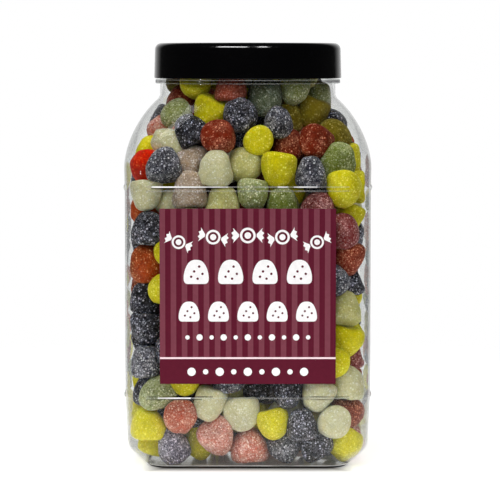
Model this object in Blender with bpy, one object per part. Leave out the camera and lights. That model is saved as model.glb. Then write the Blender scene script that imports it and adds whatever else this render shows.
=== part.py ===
"""A clear square jar with a round black screw lid, a flat label and a heap of sugared gums.

Metres, +Z up. The jar stands on z = 0 with its axis on Z, and the labelled side faces -Y.
"""

import math
import random

import bmesh
import bpy
import numpy as np
from mathutils import Vector

MM = 0.001

# Jar: one moulded shell, square with round corners below and round at the neck
WALL = 1.0 * MM
PANEL_HALF = 74.3 * MM          # middle to the flat recessed panels
RIDGE_HALF = 75.0 * MM          # middle to the moulded ridges above and below the panels
CORNER_RADIUS = 21.0 * MM
LOWER_RIDGE_Z = 44.6 * MM       # middle of the lower ridge
UPPER_RIDGE_Z = 170.2 * MM      # middle of the upper ridge
RIDGE_HEIGHT = 3.6 * MM
RIDGE_FLAT = 1.8 * MM

# Foot: the walls draw in slightly, round over and meet the base in a 45 degree slope
SKIRT_HALF = 73.1 * MM
SKIRT_Z = 16.8 * MM
FOOT_ROUND = 10.0 * MM
FOOT_SLOPE_Z = 1.1 * MM
BASE_HALF = 60.4 * MM
BASE_CORNER = 13.5 * MM
STANDING_RING = 9.0 * MM        # width of the flat ring that the jar stands on
BASE_RECESS = 0.6 * MM
FLOOR_Z = BASE_RECESS + WALL    # inside

# Shoulder and neck
SHOULDER_Z = 181.4 * MM
SHOULDER_ARC = 55.0 * MM
SHOULDER_HALF = 74.5 * MM
NECK_RADIUS = 54.7 * MM
NECK_BORE = NECK_RADIUS - 2 * WALL
NECK_FILLET_Z = 225.0 * MM
COLLAR_RADIUS = 57.6 * MM
COLLAR_Z = 232.0 * MM
COLLAR_HEIGHT = 2.6 * MM
LIP_Z = 254.0 * MM
LIP_ROUND = 0.6 * MM

# Lid
LID_Z = 235.2 * MM
LID_HEIGHT = 21.8 * MM
LID_RADIUS = 58.4 * MM
LID_DRAFT = 0.5 * MM
LID_ROUND = 4.0 * MM
LID_BORE = 55.5 * MM
LID_TOP = 2.4 * MM
LID_DISC_RADIUS = 47.0 * MM     # shallow round recess in the top face
LID_DISC_DEPTH = 0.8 * MM
LID_SIDES = 40
LID_ROUND_STEPS = 3

# Label: a square sheet on the front panel
LABEL_SIZE = 105.0 * MM
LABEL_THICKNESS = 0.25 * MM
LABEL_Z = 106.1 * MM            # middle of the label
LABEL_GAP = 0.3 * MM

# Gums: round at the base, drawn in to a blunt tip
GUM_RADIUS = 10.4 * MM
GUM_HEIGHT = 18.4 * MM
GUM_MIDDLE = 0.45               # share of the height at which a gum's own origin lies
GUM_SIDES = 6
GUM_RINGS = ((1.0, 0.05), (0.8, 0.6))   # (share of radius, share of height)
GUM_SIZE_SPREAD = 0.05

# Heap: one layer of gums, against the jar all round, on a plain core
HEAP_FLOOR = FLOOR_Z + 0.5 * MM
HEAP_TOP = 244.4 * MM
GUM_CLEARANCE = 0.8 * MM        # to the wall, whose flats cut inside its round corners
SHOULDER_CLEARANCE = 2.2 * MM   # whose shape changes between its levels
GUM_DEPTH = 9.6 * MM            # first place of a gum's middle, in from the wall
GUM_SPACING = 22.0 * MM         # along a row
ROW_SPACING = 19.1 * MM
GUM_JITTER = 2.0 * MM
CORE_INSET = 8.5 * MM
SEED = 12

# Settling: the gums push each other apart and come to lie against the jar
SETTLING_STEPS = 200
STEPS_PER_SEARCH = 10           # steps after which the pairs that may touch are looked up again
SEARCH_RANGE = 3 * GUM_RADIUS
STEP_SHARE = 0.22               # share of the force that a gum moves by in one step
PULL = 0.4 * MM                 # outward, as strong as an overlap of this size
TURN_RESISTANCE = 0.5 * GUM_RADIUS ** 2
MOST_TURN = 0.12                # radians in one step
INSIDE_ROUNDS = 3
DECIMALS = 5                    # of a metre, kept in the gums' points
TINY = 1e-12                    # keeps a division from a divisor of zero
ROOM_STEPS = 500                # heights at which the inside of the jar is worked out

# Balls that stand for a gum while it settles: height over the base and radius, in its radii
BELLY_BALL = (0.86, 0.90)
TIP_BALL = (1.13, 0.60)
RIM_BALL = (0.34, 0.38)
RIM_BALLS = 8
RIM_BALL_OUT = 0.66             # from the gum's axis

# Steps round one quarter of a ring: along each flat and round the corner
FLAT_STEPS = 3
CORNER_STEPS = 4
OUTER_SHOULDER_STEPS = 5
INNER_SHOULDER_STEPS = 4
SHOULDER_END = math.radians(2)  # the shoulder's arc stops this far short of the neck
SHARP_ANGLE = math.radians(32)


def remove_everything():
    for item in list(bpy.data.objects):
        bpy.data.objects.remove(item, do_unlink=True)


def make_material(name, colour, roughness, metallic=0.0, alpha=1.0):
    material = bpy.data.materials.new(name)
    material.use_nodes = True
    shader = material.node_tree.nodes["Principled BSDF"]
    shader.inputs["Base Color"].default_value = (*colour, 1.0)
    shader.inputs["Roughness"].default_value = roughness
    shader.inputs["Metallic"].default_value = metallic
    shader.inputs["Alpha"].default_value = alpha
    return material


def make_object(name, mesh_builder, material):
    mesh = bpy.data.meshes.new(name)
    bmesh.ops.recalc_face_normals(mesh_builder, faces=mesh_builder.faces)
    mesh_builder.to_mesh(mesh)
    mesh_builder.free()
    mesh.shade_smooth()
    mesh.set_sharp_from_angle(angle=SHARP_ANGLE)
    mesh.materials.append(material)
    item = bpy.data.objects.new(name, mesh)
    bpy.context.scene.collection.objects.link(item)
    return item


# ---- Rings: closed outlines at one height ----

def ring_angles():
    """Directions of the ring's points, closest together where the body has its corners."""
    flat_end = math.atan2(PANEL_HALF - CORNER_RADIUS, PANEL_HALF)
    quarter = [flat_end * step / FLAT_STEPS for step in range(FLAT_STEPS)]
    corner = math.pi / 2 - 2 * flat_end
    quarter += [flat_end + corner * step / CORNER_STEPS for step in range(CORNER_STEPS)]
    quarter += [math.pi / 2 - flat_end * (FLAT_STEPS - step) / FLAT_STEPS for step in range(FLAT_STEPS)]
    return [quarter_turn * math.pi / 2 + angle for quarter_turn in range(4) for angle in quarter]


def reach(angle, half_width, corner_radius):
    """Distance from the axis to a square with round corners, in one direction."""
    along = max(abs(math.cos(angle)), abs(math.sin(angle)))
    across = min(abs(math.cos(angle)), abs(math.sin(angle)))
    centre = half_width - corner_radius
    if across * half_width <= along * centre:
        return half_width / along
    total = centre * (along + across)
    return total + math.sqrt(max(total ** 2 - 2 * centre ** 2 + corner_radius ** 2, 0.0))


def ring(half_width, corner_radius, height, angles=None):
    points = []
    for angle in angles or ring_angles():
        distance = reach(angle, half_width, corner_radius)
        points.append(Vector((distance * math.cos(angle), distance * math.sin(angle), height)))
    return points


def circle(radius, height, sides):
    turns = [2 * math.pi * step / sides for step in range(sides)]
    return [Vector((radius * math.cos(turn), radius * math.sin(turn), height)) for turn in turns]


def loft(rings):
    """Closed surface through the rings, with a flat face over the first and the last."""
    builder = bmesh.new()
    rows = [[builder.verts.new(point) for point in points] for points in rings]
    for lower, upper in zip(rows, rows[1:]):
        for index in range(len(lower)):
            after = (index + 1) % len(lower)
            builder.faces.new((lower[index], lower[after], upper[after], upper[index]))
    builder.faces.new(rows[0])
    builder.faces.new(rows[-1])
    return builder


# ---- Jar ----

SLOPE_TURN = math.radians(45)
SLOPE_TOP_Z = SKIRT_Z - FOOT_ROUND * math.sin(SLOPE_TURN)
SLOPE_TOP_HALF = SKIRT_HALF - FOOT_ROUND * (1 - math.cos(SLOPE_TURN))


def smooth_step(value):
    value = min(max(value, 0.0), 1.0)
    return value * value * (3 - 2 * value)


def between(height, low, high, low_half, high_half):
    return low_half + (high_half - low_half) * (height - low) / (high - low)


def body_half(height):
    """Outer half width of the jar without its ridges, from the foot's slope to the neck."""
    if height < SLOPE_TOP_Z:
        return SLOPE_TOP_HALF - (SLOPE_TOP_Z - height)
    if height < SKIRT_Z:
        return SKIRT_HALF - FOOT_ROUND + math.sqrt(FOOT_ROUND ** 2 - (SKIRT_Z - height) ** 2)
    if height < LOWER_RIDGE_Z:
        return between(height, SKIRT_Z, LOWER_RIDGE_Z, SKIRT_HALF, PANEL_HALF)
    if height < UPPER_RIDGE_Z:
        return PANEL_HALF
    if height < SHOULDER_Z:
        return between(height, UPPER_RIDGE_Z, SHOULDER_Z, PANEL_HALF, SHOULDER_HALF)
    rise = min(height - SHOULDER_Z, SHOULDER_ARC)
    arc = SHOULDER_HALF - SHOULDER_ARC + math.sqrt(SHOULDER_ARC ** 2 - rise ** 2)
    return max(arc, NECK_RADIUS)


def corner_at(height, half_width):
    """Corner radius: smaller at the foot, and growing over the shoulder into the round neck."""
    if height < SKIRT_Z:
        drawn_in = (SKIRT_HALF - body_half(height)) / (SKIRT_HALF - BASE_HALF)
        return CORNER_RADIUS - (CORNER_RADIUS - BASE_CORNER) * min(drawn_in, 1.0)
    share = smooth_step((height - SHOULDER_Z) / (NECK_FILLET_Z - SHOULDER_Z))
    return CORNER_RADIUS + (half_width - CORNER_RADIUS) * share


def body_ring(height, inset=0.0):
    half = body_half(height) - inset
    return ring(half, corner_at(height, half), height)


def shoulder_heights(steps):
    """Heights of equal steps up the shoulder's arc."""
    end = math.acos((NECK_RADIUS - SHOULDER_HALF + SHOULDER_ARC) / SHOULDER_ARC) - SHOULDER_END
    return [SHOULDER_Z + SHOULDER_ARC * math.sin(end * step / steps) for step in range(steps + 1)]


def ridge_rings(middle):
    """A ridge: a slope out, a narrow flat and a slope in again."""
    flat = RIDGE_FLAT / 2
    edge = RIDGE_HEIGHT / 2
    return [
        body_ring(middle - edge),
        ring(RIDGE_HALF, CORNER_RADIUS, middle - flat),
        ring(RIDGE_HALF, CORNER_RADIUS, middle + flat),
        body_ring(middle + edge),
    ]


def neck_ring(radius, height):
    return ring(radius, radius, height)


def make_jar(material):
    recess_half = BASE_HALF - STANDING_RING
    foot_heights = [SLOPE_TOP_Z, (SLOPE_TOP_Z + SKIRT_Z) / 2, SKIRT_Z]
    outside = [
        ring(recess_half - BASE_RECESS, BASE_CORNER, BASE_RECESS),
        ring(recess_half, BASE_CORNER, 0.0),
        ring(BASE_HALF, BASE_CORNER, 0.0),
    ]
    outside += [body_ring(height) for height in [FOOT_SLOPE_Z] + foot_heights]
    outside += ridge_rings(LOWER_RIDGE_Z)
    outside += ridge_rings(UPPER_RIDGE_Z)
    outside += [body_ring(height) for height in shoulder_heights(OUTER_SHOULDER_STEPS)]
    outside += [
        neck_ring(NECK_RADIUS, NECK_FILLET_Z),
        neck_ring(NECK_RADIUS, COLLAR_Z),
        neck_ring(COLLAR_RADIUS, COLLAR_Z),
        neck_ring(COLLAR_RADIUS, COLLAR_Z + COLLAR_HEIGHT),
        neck_ring(NECK_RADIUS, COLLAR_Z + COLLAR_HEIGHT),
        neck_ring(NECK_RADIUS, LIP_Z - LIP_ROUND),
        neck_ring(NECK_RADIUS - LIP_ROUND, LIP_Z),
    ]
    inner_heights = [FLOOR_Z] + foot_heights + [LOWER_RIDGE_Z, UPPER_RIDGE_Z]
    inner_heights += shoulder_heights(INNER_SHOULDER_STEPS) + [NECK_FILLET_Z]
    inside = [neck_ring(NECK_BORE, LIP_Z)]
    inside += [neck_ring(NECK_BORE, COLLAR_Z)]
    inside += [body_ring(height, WALL) for height in reversed(inner_heights)]
    return make_object("jar", loft(outside + inside), material)


def inner_half(height):
    """Half width of the space inside the jar."""
    if height > NECK_FILLET_Z:
        return NECK_BORE
    return body_half(height) - WALL


# ---- Lid and label ----

def make_lid(material):
    top_z = LID_Z + LID_HEIGHT
    top_radius = LID_RADIUS - LID_DRAFT
    outside = [circle(LID_RADIUS, LID_Z, LID_SIDES)]
    for step in range(LID_ROUND_STEPS + 1):
        turn = math.pi / 2 * step / LID_ROUND_STEPS
        radius = top_radius - LID_ROUND * (1 - math.cos(turn))
        outside.append(circle(radius, top_z - LID_ROUND * (1 - math.sin(turn)), LID_SIDES))
    outside += [
        circle(LID_DISC_RADIUS + LID_DISC_DEPTH, top_z, LID_SIDES),
        circle(LID_DISC_RADIUS, top_z - LID_DISC_DEPTH, LID_SIDES),
    ]
    inside = [
        circle(LID_BORE - LID_DRAFT, top_z - LID_TOP, LID_SIDES),
        circle(LID_BORE, LID_Z, LID_SIDES),
    ]
    return make_object("lid", loft(inside + outside), material)


def make_label(material):
    back = -(PANEL_HALF + LABEL_GAP)
    builder = bmesh.new()
    bmesh.ops.create_cube(builder, size=1.0)
    for vert in builder.verts:
        vert.co.x *= LABEL_SIZE
        vert.co.y = back + (vert.co.y - 0.5) * LABEL_THICKNESS
        vert.co.z = LABEL_Z + vert.co.z * LABEL_SIZE
    return make_object("label", builder, material)


# ---- The space that the gums fill ----

ROOM_LEVELS = np.linspace(FLOOR_Z, LIP_Z, ROOM_STEPS)
ROOM_HALVES = np.array([inner_half(level) for level in ROOM_LEVELS])
ROOM_CORNERS = [min(corner_at(level, half), half) for level, half in zip(ROOM_LEVELS, ROOM_HALVES)]
ROOM_SLOPES = np.gradient(ROOM_HALVES, ROOM_LEVELS)


def wall_distance(points):
    """How far points lie inside the space for the gums, and the way further in from the wall."""
    level = points[..., 2]
    half = np.interp(level, ROOM_LEVELS, ROOM_HALVES)
    half -= np.where(level > SHOULDER_Z, SHOULDER_CLEARANCE, GUM_CLEARANCE)
    corner = np.minimum(np.interp(level, ROOM_LEVELS, ROOM_CORNERS), half)
    past = np.maximum(np.abs(points[..., :2]) - (half - corner)[..., None], 0.0)
    length = np.hypot(past[..., 0], past[..., 1])
    slope = np.interp(level, ROOM_LEVELS, ROOM_SLOPES)
    upright = 1 / np.hypot(1, slope)
    inward = np.empty_like(points)
    inward[..., :2] = -np.sign(points[..., :2]) * past / np.maximum(length, TINY)[..., None]
    inward[..., 2] = slope
    return (corner - length) * upright, inward * upright[..., None]


def points_round(height, inset, spacing, start):
    """Evenly spaced points along a level line, that far in from the wall."""
    half = inner_half(height) - inset
    corner = min(max(corner_at(height, half) - inset, 0.0), half)
    outline = np.array(ring(half, corner, height))
    outline = np.vstack((outline, outline[:1]))
    along = np.append(0.0, np.cumsum(np.linalg.norm(np.diff(outline, axis=0), axis=1)))
    count = max(round(along[-1] / spacing), 1)
    stops = (np.arange(count) + start) * along[-1] / count
    return np.column_stack([np.interp(stops, along, outline[:, axis]) for axis in range(3)])


def row_heights():
    """Heights of the rows of gums, a row's spacing apart along the wall."""
    heights = [HEAP_FLOOR + GUM_DEPTH]
    while heights[-1] < HEAP_TOP - GUM_DEPTH:
        slope = np.interp(heights[-1], ROOM_LEVELS, ROOM_SLOPES)
        heights.append(heights[-1] + ROW_SPACING / math.hypot(1, slope))
    spare = (HEAP_TOP - GUM_DEPTH - heights[0]) / (heights[-1] - heights[0])
    return [heights[0] + (height - heights[0]) * spare for height in heights]


# ---- Gums ----

def heap_places(chance):
    """First places of the gums that show, and the way that each is pulled: out, down or up."""
    places = []
    pulls = []
    heights = row_heights()
    for row, height in enumerate(heights):
        for point in points_round(height, GUM_DEPTH, GUM_SPACING, 0.5 * (row % 2)):
            places.append(point)
            pulls.append(0)
    for height, pull in ((heights[0], -1), (heights[-1], 1)):
        inset = GUM_DEPTH + ROW_SPACING
        while inset < inner_half(height):
            for point in points_round(height, inset, GUM_SPACING, 0.0):
                places.append(point)
                pulls.append(pull)
            inset += ROW_SPACING
    jitter = [[chance.uniform(-GUM_JITTER, GUM_JITTER) for _ in range(3)] for _ in places]
    return np.array(places) + jitter, np.array(pulls)


def gum_balls():
    """Balls that fill a gum, each as an offset and a radius, in shares of the gum's radius."""
    balls = [(0.0, 0.0, *BELLY_BALL), (0.0, 0.0, *TIP_BALL)]
    for point in circle(RIM_BALL_OUT, RIM_BALL[0], RIM_BALLS):
        balls.append((*point, RIM_BALL[1]))
    return np.array(balls) - (0.0, 0.0, GUM_MIDDLE * GUM_HEIGHT / GUM_RADIUS, 0.0)


GUM_BALLS = gum_balls()


def turned(turns, points):
    """The same points as they lie on each gum, by the gums' rotation matrices."""
    return np.einsum("nij,kj->nki", turns, points)


def rotations(spins):
    """Rotation matrices about the given vectors, by their lengths in radians."""
    angles = np.linalg.norm(spins, axis=1)
    axes = spins / np.maximum(angles, TINY)[:, None]
    angles = np.minimum(angles, MOST_TURN)[:, None, None]
    cross = np.cross(axes[:, None, :], -np.eye(3))
    return np.eye(3) + np.sin(angles) * cross + (1 - np.cos(angles)) * (cross @ cross)


def settle(places, pulls, turns, sizes):
    """Move and turn the gums until they touch but hardly cross."""
    scales = sizes * GUM_RADIUS
    radii = GUM_BALLS[:, 3] * scales[:, None]
    for step in range(SETTLING_STEPS):
        if step % STEPS_PER_SEARCH == 0:
            gaps = np.linalg.norm(places[:, None] - places, axis=2)
            first, second = np.nonzero(np.triu(gaps < SEARCH_RANGE, 1))
        arms = turned(turns, GUM_BALLS[:, :3]) * scales[:, None, None]
        balls = places[:, None] + arms
        apart = balls[second][:, None] - balls[first][:, :, None]
        distance = np.linalg.norm(apart, axis=3)
        overlap = np.maximum(radii[first][:, :, None] + radii[second][:, None] - distance, 0.0)
        push = apart * (overlap / distance)[..., None]
        depth, inward = wall_distance(balls)
        forces = inward * np.maximum(radii - depth, 0.0)[..., None]
        forces[..., 2] += np.maximum(HEAP_FLOOR + radii - balls[..., 2], 0.0)
        forces[..., 2] -= np.maximum(balls[..., 2] + radii - HEAP_TOP, 0.0)
        np.add.at(forces, first, -push.sum(axis=2))
        np.add.at(forces, second, push.sum(axis=1))
        _, inward = wall_distance(places)
        pull = np.where(pulls[:, None] == 0, -inward, pulls[:, None] * np.array((0.0, 0.0, 1.0)))
        spins = np.cross(arms, forces).sum(axis=1) / TURN_RESISTANCE
        places = places + STEP_SHARE * (forces.sum(axis=1) + PULL * pull)
        turns = rotations(STEP_SHARE * spins) @ turns
    return places, turns


def gum_shape():
    """Points of one gum about its own origin: rings from the base up, and the tip."""
    points = []
    for share, rise in GUM_RINGS:
        points += circle(share * GUM_RADIUS, (rise - GUM_MIDDLE) * GUM_HEIGHT, GUM_SIDES)
    points.append(Vector((0, 0, (1 - GUM_MIDDLE) * GUM_HEIGHT)))
    return np.array(points)


def drawn_inside(gums):
    """Each gum's points, moved together until none is past the wall, the floor or the top."""
    for _ in range(INSIDE_ROUNDS):
        depth, inward = wall_distance(gums)
        worst = np.argmin(depth, axis=1)[:, None]
        way = np.take_along_axis(inward, worst[..., None], axis=1)
        gums = gums + way * np.maximum(-np.take_along_axis(depth, worst, axis=1), 0.0)[..., None]
        rise = np.maximum(HEAP_FLOOR - gums[..., 2].min(axis=1), 0.0)
        rise -= np.maximum(gums[..., 2].max(axis=1) - HEAP_TOP, 0.0)
        gums[..., 2] += rise[:, None]
    return gums


def settled_gums():
    """Points of every gum in the heap."""
    chance = random.Random(SEED)
    places, pulls = heap_places(chance)
    axes = [Vector([chance.gauss(0, 1) for _ in range(3)]) for _ in places]
    turns = [Vector((0, 0, 1)).rotation_difference(axis).to_matrix() for axis in axes]
    sizes = np.array([1 + chance.uniform(-GUM_SIZE_SPREAD, GUM_SIZE_SPREAD) for _ in places])
    places, turns = settle(places, pulls, np.array(turns), sizes)
    gums = places[:, None] + turned(turns, gum_shape()) * sizes[:, None, None]
    return np.round(drawn_inside(gums), DECIMALS)


def add_gum(points, group, material):
    """One gum: rings from its base up, with a tip over the last."""
    builder = loft(points[:-1].reshape(len(GUM_RINGS), GUM_SIDES, 3))
    builder.faces.ensure_lookup_table()
    tip = bmesh.ops.poke(builder, faces=builder.faces[-1:])["verts"][0]
    tip.co = points[-1]
    gum = make_object("gum", builder, material)
    bpy.context.scene.collection.objects.unlink(gum)
    group.objects.link(gum)


def make_core(material):
    """What fills the heap behind its outer gums: rings that follow the wall, further in."""
    flat_end = math.atan2(PANEL_HALF - CORNER_RADIUS, PANEL_HALF)
    quarter = (0.0, flat_end, math.pi / 4, math.pi / 2 - flat_end)
    angles = [turn * math.pi / 2 + angle for turn in range(4) for angle in quarter]
    heights = (HEAP_FLOOR + CORE_INSET, SKIRT_Z + CORE_INSET, SHOULDER_Z)
    heights += ((SHOULDER_Z + NECK_FILLET_Z) / 2, NECK_FILLET_Z, HEAP_TOP - CORE_INSET)
    rings = []
    for height in heights:
        slope = np.interp(height, ROOM_LEVELS, ROOM_SLOPES)
        half = inner_half(height) - CORE_INSET * math.hypot(1, slope)
        rings.append(ring(half, min(corner_at(height, half), half), height, angles))
    return make_object("gums", loft(rings), material)


def keep_largest_body(mesh):
    """Drop loose scraps and fill sealed hollows: only the largest surface stays."""
    builder = bmesh.new()
    builder.from_mesh(mesh)
    builder.verts.ensure_lookup_table()
    seen = set()
    bodies = []
    for vert in builder.verts:
        if vert in seen:
            continue
        body = {vert}
        waiting = [vert]
        while waiting:
            for edge in waiting.pop().link_edges:
                for other in edge.verts:
                    if other not in body:
                        body.add(other)
                        waiting.append(other)
        seen |= body
        bodies.append(body)
    largest = max(bodies, key=len)
    spare = [vert for vert in builder.verts if vert not in largest]
    bmesh.ops.delete(builder, geom=spare, context="VERTS")
    bmesh.ops.triangulate(builder, faces=builder.faces)
    builder.to_mesh(mesh)
    builder.free()


def make_gums(material):
    group = bpy.data.collections.new("gum heap")
    bpy.context.scene.collection.children.link(group)
    for points in settled_gums():
        add_gum(points, group, material)
    heap = make_core(material)
    union = heap.modifiers.new("union", "BOOLEAN")
    union.operation = "UNION"
    union.operand_type = "COLLECTION"
    union.collection = group
    union.solver = "EXACT"
    fused = bpy.data.meshes.new_from_object(heap.evaluated_get(bpy.context.evaluated_depsgraph_get()))
    heap.modifiers.remove(union)
    heap.data = fused
    for gum in list(group.objects):
        bpy.data.objects.remove(gum, do_unlink=True)
    bpy.data.collections.remove(group)
    keep_largest_body(heap.data)
    return heap


def main():
    remove_everything()
    make_jar(make_material("clear plastic", (0.86, 0.89, 0.87), 0.06, alpha=0.25))
    make_lid(make_material("black plastic", (0.006, 0.006, 0.007), 0.18))
    make_label(make_material("printed label", (0.115, 0.011, 0.027), 0.45))
    make_gums(make_material("sugared gums", (0.62, 0.48, 0.12), 0.6))


main()
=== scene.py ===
"""Looks of the jar of hard gums: clear wall, black lid, striped label and sugared gums.

Lengths are metres where nothing else is said. The jar's axis is Z and its label faces -Y.
"""

import math
from functools import partialmethod
from itertools import product

import bpy
import numpy as np
from mathutils import Matrix, Vector


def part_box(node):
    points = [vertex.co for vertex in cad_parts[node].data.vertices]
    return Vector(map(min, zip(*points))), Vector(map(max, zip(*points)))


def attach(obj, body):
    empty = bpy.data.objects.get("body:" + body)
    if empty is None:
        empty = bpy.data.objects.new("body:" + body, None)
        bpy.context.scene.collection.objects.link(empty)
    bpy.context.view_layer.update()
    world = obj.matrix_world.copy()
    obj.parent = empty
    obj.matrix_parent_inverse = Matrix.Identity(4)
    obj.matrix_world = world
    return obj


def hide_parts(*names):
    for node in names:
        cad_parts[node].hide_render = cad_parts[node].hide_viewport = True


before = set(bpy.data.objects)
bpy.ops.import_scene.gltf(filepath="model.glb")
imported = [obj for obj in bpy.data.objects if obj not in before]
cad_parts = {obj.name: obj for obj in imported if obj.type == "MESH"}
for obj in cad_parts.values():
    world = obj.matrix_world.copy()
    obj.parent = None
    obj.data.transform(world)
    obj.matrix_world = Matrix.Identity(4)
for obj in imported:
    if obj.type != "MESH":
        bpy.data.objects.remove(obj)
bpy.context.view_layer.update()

MM = 0.001

# ---- sizes, as in the CAD model

WALL = 1.0 * MM
PANEL_HALF = 74.3 * MM
RIDGE_HALF = 75.0 * MM
CORNER_RADIUS = 21.0 * MM
LOWER_RIDGE_Z = 44.6 * MM
UPPER_RIDGE_Z = 170.2 * MM
SKIRT_HALF = 73.1 * MM
SKIRT_Z = 16.8 * MM
FOOT_ROUND = 10.0 * MM
BASE_HALF = 60.4 * MM
BASE_CORNER = 13.5 * MM
BASE_RECESS = 0.6 * MM
FLOOR_Z = BASE_RECESS + WALL
SHOULDER_Z = 181.4 * MM
SHOULDER_ARC = 55.0 * MM
SHOULDER_HALF = 74.5 * MM
NECK_RADIUS = 54.7 * MM
NECK_FILLET_Z = 225.0 * MM
COLLAR_RADIUS = 57.6 * MM
COLLAR_Z = 232.0 * MM
COLLAR_HEIGHT = 2.6 * MM
LIP_Z = 254.0 * MM
NECK_WALL = 2 * WALL
LID_LOW, LID_HIGH = (Vector(corner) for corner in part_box("lid"))
LABEL_LOW, LABEL_HIGH = (Vector(corner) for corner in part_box("label"))

# ---- camera, set from the photo

PHOTO_SIZE = 500
CAMERA_DISTANCE = 1.40  # to the jar's axis
CAMERA_HEIGHT = 0.2496  # level with the lid
FOCAL_PIXELS = 2236.0
HORIZON_ROW = 55.0  # where the camera's own height falls in the photo
AXIS_COLUMN = 247.8  # where the jar's axis falls
SHIFT_UP = 0.05  # share of the frame
SENSOR_MM = 36.0
VIEW_RANGE = (0.05, 20.0)

CAMERA_PITCH = math.atan((PHOTO_SIZE * (0.5 - SHIFT_UP) - HORIZON_ROW) / FOCAL_PIXELS)
CAMERA_RISE = math.radians(90) - CAMERA_PITCH
CAMERA_SHIFT_X = (PHOTO_SIZE / 2 - AXIS_COLUMN) / PHOTO_SIZE
CAMERA_PLACE = Vector((0.0, -CAMERA_DISTANCE, CAMERA_HEIGHT))


def photo_point(column, row, depth_y):
    """The point at depth y that the photo shows at that column and row."""
    right = (column - PHOTO_SIZE / 2) / FOCAL_PIXELS + CAMERA_SHIFT_X * PHOTO_SIZE / FOCAL_PIXELS
    up = (PHOTO_SIZE / 2 - row) / FOCAL_PIXELS - SHIFT_UP * PHOTO_SIZE / FOCAL_PIXELS
    ray = Matrix.Rotation(CAMERA_RISE, 3, "X") @ Vector((right, up, -1.0))
    return CAMERA_PLACE + ray * ((depth_y - CAMERA_PLACE.y) / ray.y)


def add_camera():
    data = bpy.data.cameras.new("camera")
    data.sensor_width = SENSOR_MM
    data.lens = FOCAL_PIXELS * SENSOR_MM / PHOTO_SIZE
    data.shift_x = CAMERA_SHIFT_X
    data.shift_y = -SHIFT_UP
    data.clip_start, data.clip_end = VIEW_RANGE
    camera = bpy.data.objects.new("camera", data)
    camera.location = CAMERA_PLACE
    camera.rotation_euler = (CAMERA_RISE, 0.0, 0.0)
    bpy.context.scene.collection.objects.link(camera)
    bpy.context.scene.camera = camera


# ---- outline of the jar

SLOPE_TURN = math.radians(45)
SLOPE_TOP_Z = SKIRT_Z - FOOT_ROUND * math.sin(SLOPE_TURN)
SLOPE_TOP_HALF = SKIRT_HALF - FOOT_ROUND * (1 - math.cos(SLOPE_TURN))


def smooth_step(value):
    value = np.clip(value, 0.0, 1.0)
    return value * value * (3 - 2 * value)


def body_half(height):
    """Outer half width of the jar without its ridges, at one height or at many."""
    z = np.asarray(height, float)
    foot = SLOPE_TOP_HALF - (SLOPE_TOP_Z - z)
    rounding = SKIRT_HALF - FOOT_ROUND + np.sqrt(np.clip(FOOT_ROUND ** 2 - (SKIRT_Z - z) ** 2, 0, None))
    skirt = SKIRT_HALF + (PANEL_HALF - SKIRT_HALF) * (z - SKIRT_Z) / (LOWER_RIDGE_Z - SKIRT_Z)
    upper = PANEL_HALF + (SHOULDER_HALF - PANEL_HALF) * (z - UPPER_RIDGE_Z) / (SHOULDER_Z - UPPER_RIDGE_Z)
    rise = np.clip(z - SHOULDER_Z, 0, SHOULDER_ARC)
    arc = SHOULDER_HALF - SHOULDER_ARC + np.sqrt(SHOULDER_ARC ** 2 - rise ** 2)
    steps = [z < SLOPE_TOP_Z, z < SKIRT_Z, z < LOWER_RIDGE_Z, z < UPPER_RIDGE_Z, z < SHOULDER_Z]
    panel = np.full_like(z, PANEL_HALF)
    return np.select(steps, [foot, rounding, skirt, panel, upper], np.maximum(arc, NECK_RADIUS))


def corner_at(height, half_width):
    """Corner radius: smaller at the foot, and growing over the shoulder into the round neck."""
    z = np.asarray(height, float)
    drawn_in = np.clip((SKIRT_HALF - body_half(z)) / (SKIRT_HALF - BASE_HALF), 0.0, 1.0)
    foot = CORNER_RADIUS - (CORNER_RADIUS - BASE_CORNER) * drawn_in
    share = smooth_step((z - SHOULDER_Z) / (NECK_FILLET_Z - SHOULDER_Z))
    return np.where(z < SKIRT_Z, foot, CORNER_RADIUS + (half_width - CORNER_RADIUS) * share)


# ---- where the gums lie

GUM_RADIUS = 10.5 * MM
GUM_HEIGHT = 19.2 * MM
GUM_MIDDLE = 0.44  # share of the height at which a gum's own origin lies
SIZE_SPREAD = 0.06
SIDE_CLEARANCE = 2.7 * MM  # the wall, and the clear band that shows at its sides
SHOULDER_CLEARANCE = 3.4 * MM  # more of it, measured level, where the wall leans in most
FOOT_CLEARANCE = -2.0 * MM  # less of it over the foot
HEAP_FLOOR = FLOOR_Z + 0.25 * MM
HEAP_TOP = 248.4 * MM
SEED = 7

# Balls that stand for a gum while the heap settles: offset and radius, in shares of the radius
BALLS = [(0.0, 0.0, 0.88, 0.91), (0.0, 0.0, 1.15, 0.66)]
BALLS += [(0.66 * math.cos(a), 0.66 * math.sin(a), 0.35, 0.355) for a in np.arange(8) * math.pi / 4]
BALLS = np.array(BALLS)
BALLS[:, 2] -= GUM_MIDDLE * GUM_HEIGHT / GUM_RADIUS

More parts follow.
